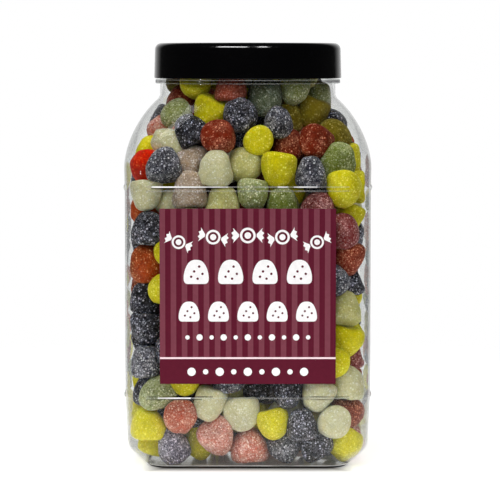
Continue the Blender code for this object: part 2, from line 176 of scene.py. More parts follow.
# Gums that the photo shows: flavour, column and row of the middle, size, way of the tip across
# the view (degrees, 0 is right and 90 up), lean of the tip to the viewer (degrees), layers deep
SHOWN_GUMS = (
    ("yellow", 195, 86, 1, 270, -60, 0), ("olive", 179, 86, 0.9, 200, 0, 1.6),
    ("red", 180, 100, 1, 100, 10, 1.4), ("pale_green", 170, 114, 0.9, 200, 20, 0.8),
    ("dull_red", 231, 92, 1, 90, 0, 0.3), ("grey_green", 267, 99, 1.05, 270, 40, 0.2),
    ("pale_green", 298, 94, 1, 280, 20, 0.2), ("olive", 315, 108, 1, 250, 0, 1.2),
    ("pale_green", 322, 96, 0.85, 80, 0, 0.9), ("yellow", 207, 113, 1.08, 252, -10, 0),
    ("black", 238, 119, 0.98, 270, 60, 0), ("black", 260, 119, 0.9, 60, 20, 0.9),
    ("grey_black", 279, 123, 0.86, 80, 25, 0.1), ("olive", 290, 121, 0.95, 90, 0, 0.9),
    ("pink", 152, 128, 0.94, 120, 20, 0.8), ("cream", 163, 142, 1, 158, 0, 0),
    ("black", 185, 132, 1, 120, -15, 0), ("red", 220, 141, 1, 300, -50, 0.2),
    ("yellow", 256, 142, 0.88, 90, -80, 0), ("red", 291, 145, 0.95, 90, 0, 0.7),
    ("red", 320, 142, 1, 330, -55, 0.2), ("olive", 341, 136, 0.95, 100, 0, 0.9),
    ("yellow", 146, 149, 0.9, 90, 0, 1.0), ("scarlet", 144, 164, 0.95, 100, 60, 0.1),
    ("grey_black", 164, 172, 1.02, 90, -30, 0), ("mauve", 190, 161, 1, 40, 0, 0.6),
    ("cream", 212, 169, 1.06, 84, 10, 0), ("lime", 244, 163, 0.98, 250, 40, 0.3),
    ("yellow", 278, 169, 1.1, 263, 8, 0), ("grey_black", 311, 173, 1, 85, 0, 0.2),
    ("green", 344, 158, 0.98, 80, 30, 0.1), ("yellow", 346, 189, 1.03, 268, 40, 0.2),
    ("cream", 145, 191, 0.98, 270, 10, 0.3), ("mauve", 194, 190, 1.05, 92, 0, 0.2),
    ("cream", 168, 203, 0.9, 60, 10, 0.8), ("lime", 223, 205, 1.05, 88, 0, 0),
    ("pale_green", 251, 191, 1, 265, 15, 0.2), ("green", 188, 218, 1, 90, 0, 0.4),
    ("green", 282, 201, 0.95, 90, 10, 0.2), ("plum", 319, 210, 1, 90, 20, 0.2),
    ("red", 333, 212, 0.9, 20, 0, 1.0), ("orange", 141, 211, 0.95, 100, 20, 0.7),
    ("black", 145, 230, 1.05, 88, 5, 0.6), ("orange", 145, 264, 1.05, 100, 35, 0.6),
    ("yellow", 170, 254, 1, 180, 0, 0.4), ("yellow", 164, 288, 1, 175, 0, 0.2),
    ("black", 143, 298, 1, 95, 0, 0.7), ("black", 146, 327, 1, 270, 0, 0.5),
    ("grey_black", 145, 361, 1.02, 95, 10, 0.6), ("black", 143, 390, 0.95, 80, 20, 0.9),
    ("pale_green", 158, 392, 1.03, 200, 40, 0), ("yellow", 353, 215, 0.95, 250, 0, 0.5),
    ("plum", 348, 230, 1, 80, 20, 0), ("red", 351, 258, 1, 265, 0, 0.1),
    ("grey_black", 334, 279, 1, 350, 20, 0.1), ("black", 356, 286, 0.95, 100, 0, 0.9),
    ("lime", 347, 311, 1.02, 90, -30, 0.4), ("yellow", 347, 341, 1.03, 258, 0, 0.1),
    ("yellow", 333, 363, 1, 0, 0, 0.1), ("plum", 357, 357, 0.9, 100, 0, 0.9),
    ("cream", 349, 384, 1.03, 88, 0, 0.2), ("yellow", 184, 382, 1, 270, -20, 0),
    ("cream", 209, 403, 1.05, 252, 5, 0), ("coral", 181, 417, 1.02, 270, -68, 0),
    ("yellow", 147, 426, 0.98, 88, 0, 0.5), ("yellow", 154, 447, 1, 75, 0, 0.8),
    ("plum_black", 176, 449, 1, 100, 20, 0.1), ("pink", 219, 435, 1.1, 300, -40, 0),
    ("yellow", 206, 450, 1.05, 250, 0, 0.55), ("cream", 244, 411, 1.03, 275, 8, 0),
    ("grey_black", 228, 378, 1, 90, 20, 0.2), ("pink", 248, 447, 1.1, 95, 0, 0.1),
    ("yellow", 271, 421, 0.98, 282, 8, 0), ("black", 259, 388, 0.95, 200, 0, 0.8),
    ("black", 288, 392, 1, 270, 25, 0), ("black", 301, 424, 0.98, 90, 10, 0.3),
    ("cream", 323, 397, 1.05, 250, 8, 0), ("cream", 333, 424, 0.98, 230, -65, 0),
    ("grey_black", 285, 452, 1, 60, 10, 0.1), ("black", 317, 451, 0.98, 20, 10, 0.2),
    ("yellow", 343, 446, 0.98, 250, 20, 0.1), ("red", 352, 413, 1, 20, 0, 0.6),
    ("cream", 350, 386, 0.9, 80, 0, 0.7),
)
FLAVOUR_SHARES = {
    "black": 0.2, "grey_black": 0.06, "yellow": 0.2, "cream": 0.15, "pink": 0.08, "red": 0.08,
    "orange": 0.06, "green": 0.08, "lime": 0.05, "plum": 0.04,
}
LATTICE_SPACING = 19.2 * MM
LATTICE_JITTER = 2.5 * MM
FIRST_LEVEL = GUM_RADIUS * 0.8  # over the floor
TOP_MARGIN = 0.6 * GUM_RADIUS
WALL_MARGIN = 7.4 * MM  # no gum starts with its middle nearer to the wall than this
SHOULDER_MARGIN = 17.0 * MM  # nor than this under the shoulder, which a poured heap doesn't fill
FRONT_LAYER_Y = -52.0 * MM  # nearer the viewer than this, only shown gums, but for the label's back
SHOWN_SPACING = 15.0 * MM  # no other gum starts nearer than this to a shown one
SHOWN_DEPTH = 11.0 * MM  # middle of a gum of the first layer to the wall
LAYER_DEPTH = 15.0 * MM
SETTLING_STEPS = 220
VISIBLE_DEPTH = 40.0 * MM  # gums whose middle lies deeper than this in the heap are left out
CORE_INSET = 34.0 * MM
CORE_FLOOR = HEAP_FLOOR + CORE_INSET
CORE_TOP = HEAP_TOP - CORE_INSET
CORE_CORNER = 5 * MM  # least corner radius
CORE_LEVELS = 12

STEPS_PER_SEARCH = 8  # steps after which the pairs that may touch are looked up again
SEARCH_RANGE = 2.8 * GUM_RADIUS
STEP_SHARE = 0.22  # of the force, moved in one step
WALL_STIFFNESS = 1.5
MOST_MOVE = 1.5 * MM  # in one step
MOST_SPIN = 0.12  # radians in one step
TURN_RESISTANCE = 0.5 * GUM_RADIUS ** 2
PIN_HOLD = 0.85  # share of its move across the view that a shown gum is denied
PIN_RETURN = 0.02  # share of the way back to its place in one step
INSIDE_ROUNDS = 4
TINY = 1e-9  # keeps a division from a divisor of zero


def gum_room(height):
    """Half width of the space that the gums fill, and its corner radius."""
    z = np.clip(np.asarray(height, float), FLOOR_Z, LIP_Z)
    up_shoulder = smooth_step((z - SHOULDER_Z) / (NECK_FILLET_Z - SHOULDER_Z))
    shoulder = SHOULDER_CLEARANCE * 4 * up_shoulder * (1 - up_shoulder)
    foot = FOOT_CLEARANCE * smooth_step((LOWER_RIDGE_Z - z) / (LOWER_RIDGE_Z - SKIRT_Z))
    half = body_half(z) - SIDE_CLEARANCE - shoulder - foot
    return half, np.minimum(corner_at(z, half), half)


ROOM_LEVELS = np.linspace(FLOOR_Z, LIP_Z, 500)
ROOM_HALVES, ROOM_CORNERS = gum_room(ROOM_LEVELS)
ROOM_SLOPES = np.gradient(ROOM_HALVES, ROOM_LEVELS)


def wall_distance(points):
    """How far each point lies inside the wall (negative outside), and the way back in."""
    room = (ROOM_HALVES, ROOM_CORNERS, ROOM_SLOPES)
    half, corner, slope = (np.interp(points[..., 2], ROOM_LEVELS, values) for values in room)
    past = np.abs(points[..., :2]) - (half - corner)[..., None]
    outside = np.maximum(past, 0.0)
    length = np.hypot(outside[..., 0], outside[..., 1])
    inner = np.minimum(past.max(-1), 0.0)
    upright = 1 / np.hypot(1, slope)
    back = np.empty_like(points)
    back[..., :2] = -np.sign(points[..., :2]) * outside / np.maximum(length, TINY)[..., None]
    back[..., 2] = slope
    return (corner - length - inner) * upright, back * upright[..., None]


class Heap:
    """Places, turns and sizes of the gums, settled so that they touch but don't cross."""

    def __init__(self):
        self.gums = []

    def add(self, place, tip, spin, size, pin, flavour):
        """A pin of 1 holds a gum across the view, and 0 lets it go."""
        tilt = Vector((0, 0, 1)).rotation_difference(Vector(tip)).to_matrix()
        turn = tilt @ Matrix.Rotation(spin, 3, "Z")
        self.gums.append((tuple(place), [tuple(row) for row in turn], size, pin, flavour))

    def freeze(self):
        *numbers, self.flavour = zip(*self.gums)
        self.place, self.turn, self.size, self.pin = (np.array(values, float) for values in numbers)
        self.home = self.place.copy()

    def near_pairs(self):
        gaps = np.linalg.norm(self.place[:, None] - self.place[None], axis=2)
        return np.nonzero(np.triu(gaps < SEARCH_RANGE, 1))

    def balls(self):
        """Middles and radii of the balls of each gum, and their offsets from its own origin."""
        scale = self.size * GUM_RADIUS
        arm = np.einsum("nij,kj->nki", self.turn, BALLS[:, :3]) * scale[:, None, None]
        return self.place[:, None, :] + arm, BALLS[None, :, 3] * scale[:, None], arm

    def push(self, first, second):
        """Force and turning force on each gum, from its neighbours and from the jar."""
        middle, radius, arm = self.balls()
        apart = middle[second][:, None, :, :] - middle[first][:, :, None, :]
        distance = np.linalg.norm(apart, axis=3) + TINY
        overlap = np.maximum(radius[first][:, :, None] + radius[second][:, None, :] - distance, 0.0)
        shove = apart * (overlap / distance)[..., None]
        force = np.zeros_like(self.place)
        torque = np.zeros_like(self.place)
        for index, ball_force in ((first, -shove.sum(2)), (second, shove.sum(1))):
            np.add.at(force, index, ball_force.sum(1))
            np.add.at(torque, index, np.cross(arm[index], ball_force).sum(1))
        inside, back = wall_distance(middle)
        wall_force = back * np.maximum(radius - inside, 0.0)[..., None]
        wall_force[..., 2] += np.maximum(HEAP_FLOOR + radius - middle[..., 2], 0.0)
        wall_force[..., 2] -= np.maximum(middle[..., 2] + radius - HEAP_TOP, 0.0)
        force += WALL_STIFFNESS * wall_force.sum(1)
        torque += WALL_STIFFNESS * np.cross(arm, wall_force).sum(1)
        return force, torque

    def settle(self, steps):
        for step in range(steps):
            if step % STEPS_PER_SEARCH == 0:
                first, second = self.near_pairs()
            force, torque = self.push(first, second)
            move = STEP_SHARE * force
            length = np.linalg.norm(move, axis=1)[:, None]
            move *= np.minimum(1.0, MOST_MOVE / np.maximum(length, TINY))
            held = self.pin[:, None]
            move[:, ::2] *= 1 - PIN_HOLD * held
            move[:, ::2] += PIN_RETURN * held * (self.home - self.place)[:, ::2]
            self.place += move
            spin = torque * STEP_SHARE / TURN_RESISTANCE * (1 - held)
            self.turn = rotations(spin) @ self.turn

    def draw_inside(self):
        """Moves gums that were held in the wall or in the floor back out of it."""
        for _ in range(INSIDE_ROUNDS):
            middle, radius, _ = self.balls()
            inside, back = wall_distance(middle)
            over = np.maximum(radius - inside, 0.0)
            gums = np.arange(len(over))
            worst = over.argmax(1)
            self.place += back[gums, worst] * over[gums, worst][:, None]
            self.place[:, 2] += np.maximum(HEAP_FLOOR + radius - middle[..., 2], 0.0).max(1)


def rotations(spin):
    """Rotation matrices about the given vectors, by their lengths in radians."""
    angle = np.linalg.norm(spin, axis=1)
    axis = spin / np.maximum(angle, TINY)[:, None]
    angle = np.minimum(angle, MOST_SPIN)
    cross = np.zeros((len(spin), 3, 3))
    cross[:, 0, 1], cross[:, 0, 2], cross[:, 1, 2] = -axis[:, 2], axis[:, 1], -axis[:, 0]
    cross -= cross.transpose(0, 2, 1)
    sine = np.sin(angle)[:, None, None]
    cosine = np.cos(angle)[:, None, None]
    return np.eye(3) + sine * cross + (1 - cosine) * (cross @ cross)


def place_shown(heap, chance):
    """The gums that the photo shows, each in its place across the view."""
    for flavour, column, row, size, tip_way, lean, layers in SHOWN_GUMS:
        flat = math.radians(tip_way)
        rise = math.radians(lean)
        tip = (math.cos(flat) * math.cos(rise), -math.sin(rise), math.sin(flat) * math.cos(rise))
        depth = -PANEL_HALF + SHOWN_DEPTH + layers * LAYER_DEPTH
        place = photo_point(column, row, depth)
        half, _ = gum_room(place.z)
        place = photo_point(column, row, depth + PANEL_HALF - float(half))
        heap.add(place, tip, chance.uniform(0, 2 * math.pi), size, 1.0, flavour)


def place_rest(heap, chance):
    """All other gums: a jittered close-packed lattice, clear of the shown ones."""
    shown = np.array([gum[0] for gum in heap.gums])
    layer = LATTICE_SPACING * math.sqrt(2 / 3)
    row = LATTICE_SPACING * math.sqrt(3) / 2
    names, shares = zip(*FLAVOUR_SHARES.items())
    reach = int(PANEL_HALF / row) + 1
    steps = range(-reach, reach + 1)
    for level, across, along in product(range(int((HEAP_TOP - HEAP_FLOOR) / layer) + 1), steps, steps):
        odd = level % 2
        point = np.array((
            (along + 0.5 * ((across + odd) % 2)) * LATTICE_SPACING,
            (across + odd / 3) * row,
            HEAP_FLOOR + FIRST_LEVEL + level * layer,
        ))
        point += chance.uniform(-LATTICE_JITTER, LATTICE_JITTER, 3)
        inside, _ = wall_distance(point)
        margin = SHOULDER_MARGIN if point[2] > SHOULDER_Z else WALL_MARGIN
        behind_label = abs(point[0]) < LABEL_HIGH.x - GUM_RADIUS
        behind_label &= LABEL_LOW.z + GUM_RADIUS < point[2] < LABEL_HIGH.z - GUM_RADIUS
        taken = inside < margin or point[2] > HEAP_TOP - TOP_MARGIN
        taken |= point[1] < FRONT_LAYER_Y and not behind_label
        if taken or np.linalg.norm(shown - point, axis=1).min() < SHOWN_SPACING:
            continue
        tip = chance.normal(size=3)
        size = 1 + SIZE_SPREAD * chance.uniform(-1, 1)
        flavour = names[chance.choice(len(names), p=shares)]
        heap.add(point, tip / np.linalg.norm(tip), chance.uniform(0, 2 * math.pi), size, 0.0, flavour)


# ---- meshes of the gums

# A gum's outline: share of the radius and share of the height, from the base to the tip
GUM_OUTLINE = np.array((
    (0.0, 0.012), (0.4, 0.006), (0.68, 0.0), (0.84, 0.022), (0.94, 0.075), (0.988, 0.15),
    (1.0, 0.24), (0.985, 0.36), (0.942, 0.49), (0.868, 0.62), (0.765, 0.745), (0.64, 0.85),
    (0.495, 0.926), (0.33, 0.974), (0.16, 0.996), (0.0, 1.0),
))
GUM_SIDES = 30
LUMP_SHARE = 0.016  # of the radius
LUMP_WAVES = 7
LUMP_TURNS = 3.2  # how close together the lumps lie
TAPER = (-0.05, 0.08)
TIP_LEAN = 0.9 * MM
OVAL_SPREAD = 0.03
HEIGHT_SPREAD = 0.05
GRAIN = 0.05 * MM
EXTRA_SUGAR_BELOW_Z = 75.0 * MM  # below this, the gums get more sugar, the lower the more
MORE_SUGAR = 0.7


def circle(radius, height, sides):
    turns = 2 * math.pi * np.arange(sides) / sides
    return np.column_stack([radius * np.cos(turns), radius * np.sin(turns), np.full(sides, height)])


def bands(count, levels, start=0):
    """Faces between rings of so many points each, one ring after the other."""
    faces = []
    for low in range(start, start + (levels - 1) * count, count):
        high = low + count
        for index in range(count):
            after = (index + 1) % count
            faces.append((low + index, low + after, high + after, high + index))
    return faces


def gum_grid():
    """Points and faces of one plain gum: a pole, rings of points up the outline, and a pole."""
    rings = [circle(share * GUM_RADIUS, rise * GUM_HEIGHT, GUM_SIDES) for share, rise in GUM_OUTLINE[1:-1]]
    base = (0.0, 0.0, GUM_OUTLINE[0, 1] * GUM_HEIGHT)
    points = np.vstack([base, *rings, (0.0, 0.0, GUM_HEIGHT)])
    points[:, 2] -= GUM_MIDDLE * GUM_HEIGHT
    faces = bands(GUM_SIDES, len(rings), 1)
    last = len(points) - 1
    top = last - GUM_SIDES
    for side in range(GUM_SIDES):
        after = (side + 1) % GUM_SIDES
        faces += [(0, 1 + after, 1 + side), (top + side, top + after, last)]
    return points, faces


def uneven(points, chance):
    """One gum's own points: leaning, a little oval and softly lumpy."""
    way = points / np.linalg.norm(points, axis=1)[:, None]
    lumps = np.zeros(len(points))
    for _ in range(LUMP_WAVES):
        wave = chance.normal(size=3) * LUMP_TURNS
        lumps += np.cos(way @ wave + chance.uniform(0, 2 * math.pi))
    own = points * (1 + LUMP_SHARE * lumps)[:, None]
    height = own[:, 2] / GUM_HEIGHT + GUM_MIDDLE
    own[:, :2] *= 1 - chance.uniform(*TAPER) * np.sin(math.pi * height)[:, None]
    own[:, :2] += np.outer(height ** 2, chance.normal(size=2) * TIP_LEAN)
    own[:, 0] *= 1 + OVAL_SPREAD * chance.normal()
    own[:, 2] *= 1 + HEIGHT_SPREAD * chance.normal()
    return own + way * (GRAIN * chance.normal(size=len(points)))[:, None]


def kept_inside(points):
    """One gum moved so that no point of it is in the wall or in the floor."""
    for _ in range(INSIDE_ROUNDS):
        inside, back = wall_distance(points)
        worst = inside.argmin()
        points = points + back[worst] * max(-inside[worst], 0.0)
        points[:, 2] += max(HEAP_FLOOR - points[:, 2].min(), 0.0)
    return points


def mesh_object(name, points, faces, *materials, smooth=True):
    mesh = bpy.data.meshes.new(name)
    mesh.from_pydata(points, [], faces, shade_flat=not smooth)
    for look in materials:
        mesh.materials.append(look)
    piece = bpy.data.objects.new(name, mesh)
    bpy.context.scene.collection.objects.link(piece)
    return piece


def gums_piece(kind, heap, picked, chance):
    """All gums of one kind as one mesh, each with its own shade and its own coat of sugar."""
    plain, plain_faces = gum_grid()
    points, faces, shade, sugar = [], [], [], []
    for number, index in enumerate(picked):
        own = uneven(plain, chance) * heap.size[index]
        points.append(kept_inside(own @ heap.turn[index].T + heap.place[index]))
        faces += [tuple(number * len(plain) + corner for corner in face) for face in plain_faces]
        shade.append(chance.uniform(-1, 1))
        lowness = np.clip(1 - heap.place[index, 2] / EXTRA_SUGAR_BELOW_Z, 0, 1)
        sugar.append(chance.uniform(0, 1) + MORE_SUGAR * lowness)
    piece = mesh_object("gums_" + kind, np.vstack(points).tolist(), faces, gum_material(kind))
    for name, values in (("shade", shade), ("sugar", sugar)):
        layer = piece.data.attributes.new(name, "FLOAT", "POINT")
        layer.data.foreach_set("value", np.repeat(values, len(plain)).astype(np.float32))
    return piece


def add_gums():
    chance = np.random.default_rng(SEED)
    heap = Heap()
    place_shown(heap, chance)
    place_rest(heap, chance)
    heap.freeze()
    heap.settle(SETTLING_STEPS)
    heap.draw_inside()
    inside, _ = wall_distance(heap.place)
    depth = np.minimum(inside, np.minimum(heap.place[:, 2] - HEAP_FLOOR, HEAP_TOP - heap.place[:, 2]))
    pieces = []
    for kind in GUM_KINDS:
        picked = np.flatnonzero((np.array(heap.flavour) == kind) & (depth < VISIBLE_DEPTH))
        pieces.append(gums_piece(kind, heap, picked, chance))
    pieces.append(core_piece())
    for piece in pieces:
        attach(piece, "root")
        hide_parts("gums")


# ---- rings and shells

FLAT_STEPS = 16
CORNER_STEPS = 10


def ring_angles():
    """Directions of a ring's points, closest together where the body has its corners."""
    quarter_turn = math.pi / 2
    flat_end = math.atan2(PANEL_HALF - CORNER_RADIUS, PANEL_HALF)
    flat = flat_end * np.arange(FLAT_STEPS) / FLAT_STEPS
    corner = flat_end + (quarter_turn - 2 * flat_end) * np.arange(CORNER_STEPS) / CORNER_STEPS
    quarter = np.concatenate([flat, corner, quarter_turn - flat_end + flat])
    return np.concatenate([quarter + turn * quarter_turn for turn in range(4)])


RING_ANGLES = ring_angles()
RING_WAYS = np.stack([np.cos(RING_ANGLES), np.sin(RING_ANGLES)], 1)


def ring(half_width, corner_radius, height):
    """Square with round corners, at one height."""
    along = np.abs(RING_WAYS).max(1)
    across = np.abs(RING_WAYS).min(1)
    centre = half_width - corner_radius
    total = centre * (along + across)
    round_reach = total + np.sqrt(np.maximum(total ** 2 - 2 * centre ** 2 + corner_radius ** 2, 0.0))
    reach = np.where(across * half_width <= along * centre, half_width / along, round_reach)
    return np.column_stack([reach[:, None] * RING_WAYS, np.full_like(reach, height)])


def shell(name, rings, sharp_degrees, *materials):
    """Closed surface through the rings, with a flat face over the first and the last."""
    count = len(rings[0])
    points = np.vstack(rings)
    faces = bands(count, len(rings))
    faces += [tuple(reversed(range(count))), tuple(range(len(points) - count, len(points)))]
    piece = mesh_object(name, points.tolist(), faces, *materials)
    piece.data.set_sharp_from_angle(angle=math.radians(sharp_degrees))
    return piece


# ---- jar

RIDGE_HALF_HEIGHT = 2.4 * MM
RIDGE_STEPS = 12
RIDGE_FULLNESS = 0.8
FOOT_STEPS = 8
SHOULDER_STEPS = 26
SHOULDER_END = math.radians(1.5)
COLLAR_ROUND = 0.5 * MM
LIP_ROUND = 0.6 * MM
EDGE_TURNS = (0, 45, 90)  # of the rings round an edge, in degrees
STANDING_RING = 9.0 * MM
STANDING_ROUND = 0.4 * MM
RECESS_EDGE_Z = 0.25 * MM
FOOT_FLARE = 0.9 * MM
BASE_BANDS = 3  # bands of faces under the jar, which have no lines

# Painted highlights and painted dark lines, for the light that the moulding bends, on each side of the
# jar: heights from the middle of a ridge, and the runs along the side, in mm; a run of None goes all along
# Kinds of painted line: highlight, faint highlight, dark line, and the black painted contact shadow at the
# foot
BRIGHT, FAINT, DARK, BLACK = 1, 2, 3, 4
UPPER_LINES = (
    (0.8, 1.6, BRIGHT, ((-58, -12), (17, 25), (28, 43))),
    (0.8, 1.6, FAINT, None),
    (0.0, 0.8, DARK, ((-58, -8), (14, 46))),
    (-1.7, -0.8, FAINT, None),
)
LOWER_LINES = (
    (0.8, 1.6, DARK, ((-60, -20), (30, 60))),
    (0.0, 0.8, BRIGHT, ((-54, -34),)),
    (0.0, 0.8, FAINT, None),
    (-0.8, 0.0, DARK, ((-60, -28), (30, 60))),
)
LINES_END = 60.0

# The same for whole rings, painted on the collar's edges and the foot's edge, as heights above the base
FOOT_LINES_Z = (1.3 * MM, 2.1 * MM)
RING_LINES = (
    (COLLAR_Z + 2.0 * MM, COLLAR_Z + 2.7 * MM, FAINT),
    (COLLAR_Z + 0.6 * MM, COLLAR_Z + 2.0 * MM, DARK),
    (COLLAR_Z - 0.1 * MM, COLLAR_Z + 0.6 * MM, FAINT),
    (*FOOT_LINES_Z, BRIGHT),
    # painted contact shadow where the foot meets the floor
    (-0.1 * MM, FOOT_LINES_Z[0], BLACK),
)


def ridge_rings(middle):
    """A moulded ridge: a low round wave out of the wall."""
    offsets = 2 * np.arange(RIDGE_STEPS + 1) / RIDGE_STEPS - 1
    waves = (0.5 + 0.5 * np.cos(math.pi * offsets)) ** RIDGE_FULLNESS
    heights = middle + offsets * RIDGE_HALF_HEIGHT
    walls = body_half(heights)
    halves = walls + (RIDGE_HALF - walls) * waves
    return [ring(half, CORNER_RADIUS, height) for half, height in zip(halves, heights)]


def body_rings(heights, inset=0.0):
    halves = body_half(heights) - inset
    return [ring(*sizes) for sizes in zip(halves, corner_at(heights, halves), heights)]


def neck_ring(radius, height):
    return ring(radius, radius, height)


def edge_rings(radius, height, size, turns):
    """Rings round an edge of the neck, from the level of its middle at turn 0."""
    bends = map(math.radians, turns)
    return [neck_ring(radius - size * (1 - math.cos(b)), height + size * math.sin(b)) for b in bends]


def foot_heights():
    turns = SLOPE_TURN * np.arange(FOOT_STEPS + 1) / FOOT_STEPS
    return SKIRT_Z - FOOT_ROUND * np.sin(turns[::-1])


def shoulder_heights():
    end = math.acos((NECK_RADIUS - SHOULDER_HALF + SHOULDER_ARC) / SHOULDER_ARC) - SHOULDER_END
    return SHOULDER_Z + SHOULDER_ARC * np.sin(end * np.arange(SHOULDER_STEPS + 1) / SHOULDER_STEPS)


def collar_rings():
    """The bead under the lid, with its edges rounded off."""
    low = COLLAR_Z + COLLAR_ROUND
    high = COLLAR_Z + COLLAR_HEIGHT - COLLAR_ROUND
    return [
        neck_ring(NECK_RADIUS, COLLAR_Z),
        *edge_rings(COLLAR_RADIUS, low, COLLAR_ROUND, [-turn for turn in reversed(EDGE_TURNS)]),
        *edge_rings(COLLAR_RADIUS, high, COLLAR_ROUND, EDGE_TURNS),
        neck_ring(NECK_RADIUS, COLLAR_Z + COLLAR_HEIGHT),
    ]


def painted_line_at(place):
    """The painted highlight or painted dark line, if any, that a face of the outside gets."""
    for low, high, painted_line in RING_LINES:
        if low < place.z < high:
            return painted_line
    if abs(place.x) > abs(place.y):
        along = math.copysign(1.0, place.x) * place.y / MM
    else:
        along = -math.copysign(1.0, place.y) * place.x / MM
    if abs(along) > LINES_END:
        return 0
    for middle, lines in ((UPPER_RIDGE_Z, UPPER_LINES), (LOWER_RIDGE_Z, LOWER_LINES)):
        offset = (place.z - middle) / MM
        for low, high, painted_line, runs in lines:
            in_run = runs is None or any(start < along < end for start, end in runs)
            if low < offset < high and in_run:
                return painted_line
    return 0


def add_jar():
    """The clear wall: outside from the recessed base up to the lip, then down the inside."""
    recess_half = BASE_HALF - STANDING_RING
    outside = [
        ring(recess_half - BASE_RECESS, BASE_CORNER, BASE_RECESS),
        ring(recess_half, BASE_CORNER, RECESS_EDGE_Z),
        ring(recess_half + STANDING_ROUND, BASE_CORNER, 0.0),
        ring(BASE_HALF - STANDING_ROUND, BASE_CORNER, 0.0),
        ring(BASE_HALF + FOOT_FLARE, BASE_CORNER, FOOT_LINES_Z[0]),
        *body_rings([FOOT_LINES_Z[1], *foot_heights()]),
        *ridge_rings(LOWER_RIDGE_Z),
        *ridge_rings(UPPER_RIDGE_Z),
        *body_rings(shoulder_heights()),
        neck_ring(NECK_RADIUS, NECK_FILLET_Z),
        *collar_rings(),
        *edge_rings(NECK_RADIUS, LIP_Z - LIP_ROUND, LIP_ROUND, EDGE_TURNS),
    ]
    inside = [neck_ring(NECK_RADIUS - NECK_WALL, height) for height in (LIP_Z, COLLAR_Z)]
    heights = [FLOOR_Z, *foot_heights(), LOWER_RIDGE_Z, UPPER_RIDGE_Z, *shoulder_heights(), NECK_FILLET_Z]
    inside += body_rings(heights[::-1], WALL)
    jar = shell(
        "jar_wall", outside + inside, 50,
        clear_material(),
        # painted highlights and painted dark lines of the moulding
        painted_highlight_material("clear_painted_highlight", 0.95),
        painted_highlight_material("clear_painted_faint_highlight", 0.2),
        painted_dark_line_material("clear_painted_dark_line", 0.72, 0.4),
        # painted contact shadow at the foot
        painted_dark_line_material("clear_painted_foot_shadow", 0.12, 0.02),
    )
    first, last = (band * len(RING_WAYS) for band in (BASE_BANDS, len(outside) - 1))
    # each face of the outside gets its painted line, if any
    for face in jar.data.polygons[first:last]:
        face.material_index = painted_line_at(face.center)
    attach(jar, "root")
    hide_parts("jar")


def core_piece():
    """Dark heart of the heap, behind the gums that show: a painted shade that stands for the unlit gums
    deep inside.
    """
    heights = np.linspace(CORE_FLOOR, CORE_TOP, CORE_LEVELS)
    halves, corners = gum_room(heights)
    corners = np.maximum(corners - CORE_INSET, CORE_CORNER)
    rings = [ring(*sizes) for sizes in zip(halves - CORE_INSET, corners, heights)]
    return shell("gum_core", rings, 30, core_material())


# ---- lid

LID_RADIUS = 58.4 * MM
LID_DRAFT = 0.5 * MM
LID_ROUND = 4.0 * MM
LID_BORE = 55.5 * MM
LID_TOP = 2.4 * MM
LID_DISC_RADIUS = 47.0 * MM
LID_DISC_DEPTH = 0.8 * MM
LID_EASE = 0.3 * MM  # bevel of the edges of the bore and of the recess
LID_RIM = ((0.6, 0.0), (0.15, 0.2), (0.0, 0.7))  # inward and up, in mm
LID_DISC_EDGE = ((0.6, 0.25), (0.2, 0.8))  # outward and down, in shares of the disc's depth
LID_SIDES = 128
LID_ROUND_STEPS = 10


def add_lid():
    low, high = LID_LOW.z, LID_HIGH.z
    outline = [
        (LID_BORE - LID_DRAFT, high - LID_TOP),
        (LID_BORE, low + LID_EASE),
        (LID_BORE + LID_EASE, low),
        *((LID_RADIUS - inward * MM, low + up * MM) for inward, up in LID_RIM),
    ]
    for step in range(LID_ROUND_STEPS + 1):
        turn = math.pi / 2 * step / LID_ROUND_STEPS
        radius = LID_RADIUS - LID_DRAFT - LID_ROUND * (1 - math.cos(turn))
        outline.append((radius, high - LID_ROUND * (1 - math.sin(turn))))
    outline += [
        (LID_DISC_RADIUS + LID_DISC_DEPTH + LID_EASE, high),
        *((LID_DISC_RADIUS + a * LID_DISC_DEPTH, high - b * LID_DISC_DEPTH) for a, b in LID_DISC_EDGE),
        (LID_DISC_RADIUS - LID_EASE, high - LID_DISC_DEPTH),
    ]
    lid = shell("lid_cap", [circle(*sizes, LID_SIDES) for sizes in outline], 40, lid_material())
    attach(lid, "root")
    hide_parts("lid")


# ---- label

STRIPES = 32
LINE_SHARE = 0.148  # height of the pale line's middle, as a share of the label
LINE_HEIGHT = 1.1 * MM
INK_RELIEF = 0.03 * MM
PLEATS = 6
FAN_TURN = math.radians(27)
FAN_ROOT = (1.12, 0.16)  # this and the next in shares of the sweet's radius
FAN_REACH = (2.1, 1.86)
WRAPPED_RINGS = (1.0, 0.7, 0.42)
SUGAR_DOTS = ((-0.2, 0.3), (0.06, 0.22), (0.25, 0.42), (-0.08, 0.52), (0.12, 0.72))
SUGAR_DOT = 0.05  # of the gum's width

# The motifs' places in mm from the label's middle, and their sizes in mm
WRAPPED = [(20.6 * n, 36.5 - n * n, 4.7 - 0.3 * abs(n), math.radians(12 * n)) for n in range(-2, 3)]
GUMDROPS = [(20.5 * (n + 0.5), 7.5, 15.0, 14.5) for n in range(-2, 2)]
GUMDROPS += [(17.5 * n, -15.0, 12.5, 12.0) for n in range(-2, 3)]
DOTS = [(7.2 * n, -24.5, 1.3 if n % 2 else 1.9) for n in range(-5, 6)]
DOTS += [(8.4 * n, -45.2, 1.6 if n % 2 else 2.5) for n in range(-4, 5)]


